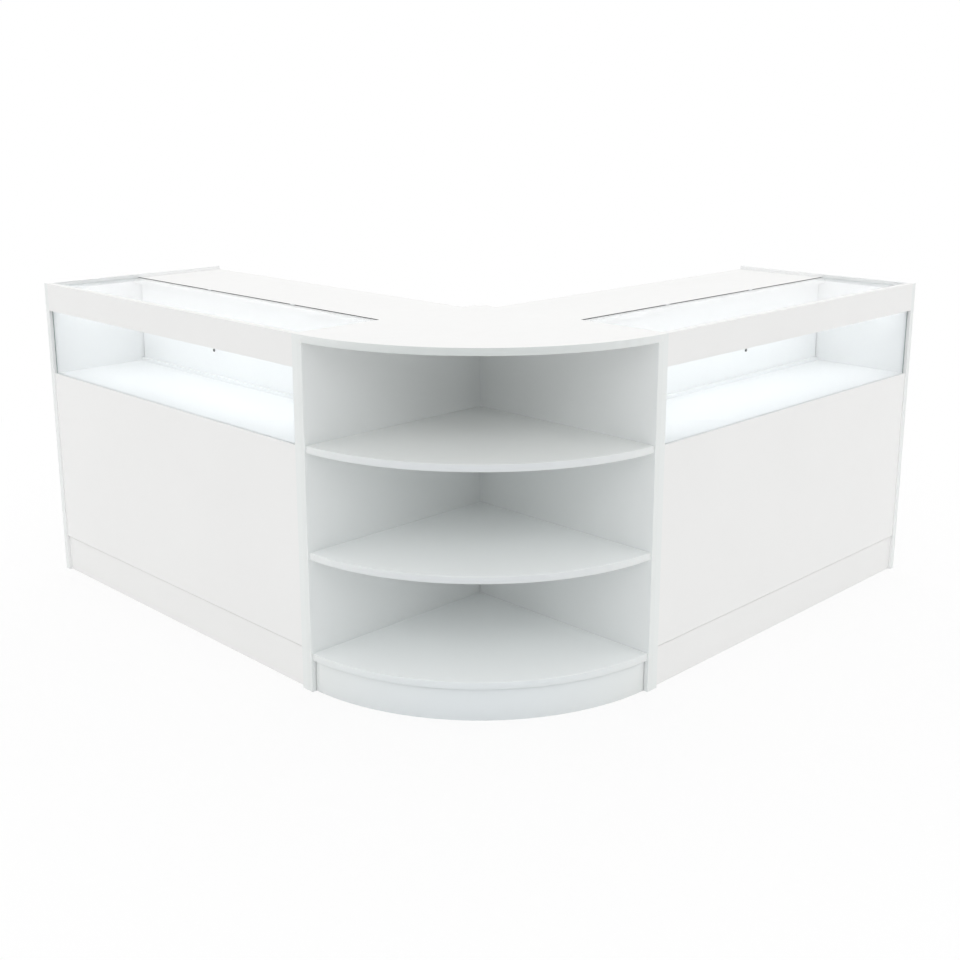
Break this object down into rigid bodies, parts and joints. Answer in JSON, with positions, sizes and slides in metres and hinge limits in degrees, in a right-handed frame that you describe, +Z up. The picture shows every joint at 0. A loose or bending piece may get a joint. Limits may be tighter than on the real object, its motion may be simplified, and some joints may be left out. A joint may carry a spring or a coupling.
{
  "type": "shop counter",
  "caption": "L-shaped shop counter: glazed display wings with a recessed glass top and worktop, meeting at a quarter-round open-shelf corner unit.",
  "frame": {"origin": "on the floor, at the plan point behind the corner unit where the two wings' rear corners meet", "axes": "+Z up; the right wing runs along +X with its front towards -Y; the left wing runs along +Y with its front towards -X"},
  "size_m": [1.82, 1.82, 0.89],
  "materials": {
    "white_melamine": "satin white melamine on chipboard",
    "corner_melamine": "satin white melamine on chipboard",
    "clear_glass": "clear float glass, polished edges",
    "anodised_aluminium": "satin anodised",
    "light_board": "matt white circuit strip",
    "opal_lens": "opal diffuser, lit cool white",
    "satin_knob": "satin nickel",
    "dark_steel": "black oxide",
    "bright_steel": "bright zinc plated",
    "cast_zinc": "as cast",
    "white_nylon": "matt",
    "clear_plastic": "clear",
    "dark_seal": "soft dark glazing seal",
    "beech": "fluted beech"
  },
  "bodies": {
    "counter": {"cam_bolts": "bright_steel", "cam_locks": "cast_zinc", "corner_base_shelf": "corner_melamine", "corner_dowels": "beech", "corner_left_side": "corner_melamine", "corner_lower_shelf": "corner_melamine", "corner_plinth": "corner_melamine", "corner_right_side": "corner_melamine", "corner_top": "corner_melamine", "corner_upper_shelf": "corner_melamine", "glass_clips": "clear_plastic", "glass_seals": "dark_seal", "left_base_board": "white_melamine", "left_display_floor": "white_melamine", "left_flap_stop": "white_melamine", "left_front_batten": "white_melamine", "left_front_glass": "clear_glass", "left_front_panel": "white_melamine", "left_front_rail": "white_melamine", "left_inner_gable": "white_melamine", "left_light_lens": "opal_lens", "left_light_profile": "anodised_aluminium", "left_light_strip": "light_board", "left_outer_gable": "white_melamine", "left_plinth": "white_melamine", "left_rear_batten": "white_melamine", "left_rear_kickboard": "white_melamine", "left_storage_shelf": "white_melamine", "left_top_glass": "clear_glass", "left_worktop": "white_melamine", "linking_screws": "bright_steel", "pivot_bushes": "white_nylon", "right_base_board": "white_melamine", "right_display_floor": "white_melamine", "right_flap_stop": "white_melamine", "right_front_batten": "white_melamine", "right_front_glass": "clear_glass", "right_front_panel": "white_melamine", "right_front_rail": "white_melamine", "right_inner_gable": "white_melamine", "right_light_lens": "opal_lens", "right_light_profile": "anodised_aluminium", "right_light_strip": "light_board", "right_outer_gable": "white_melamine", "right_plinth": "white_melamine", "right_rear_batten": "white_melamine", "right_rear_kickboard": "white_melamine", "right_storage_shelf": "white_melamine", "right_top_glass": "clear_glass", "right_worktop": "white_melamine", "shelf_pins": "bright_steel"},
    "right_flap": {"right_flap": "white_melamine", "right_knobs": "satin_knob", "right_knob_screws": "dark_steel", "right_pivot_pins": "bright_steel"},
    "left_flap": {"left_flap": "white_melamine", "left_knobs": "satin_knob", "left_knob_screws": "dark_steel", "left_pivot_pins": "bright_steel"}
  },
  "joints": [
    {"name": "right_flap_hinge", "type": "hinge", "parent": "counter", "child": "right_flap", "pos_m": [0.61, -0.282, 0.847], "axis": [1, 0, 0], "range_deg": [0, 80]},
    {"name": "left_flap_hinge", "type": "hinge", "parent": "counter", "child": "left_flap", "pos_m": [-0.282, 0.61, 0.847], "axis": [0, -1, 0], "range_deg": [0, 80]}
  ]
}
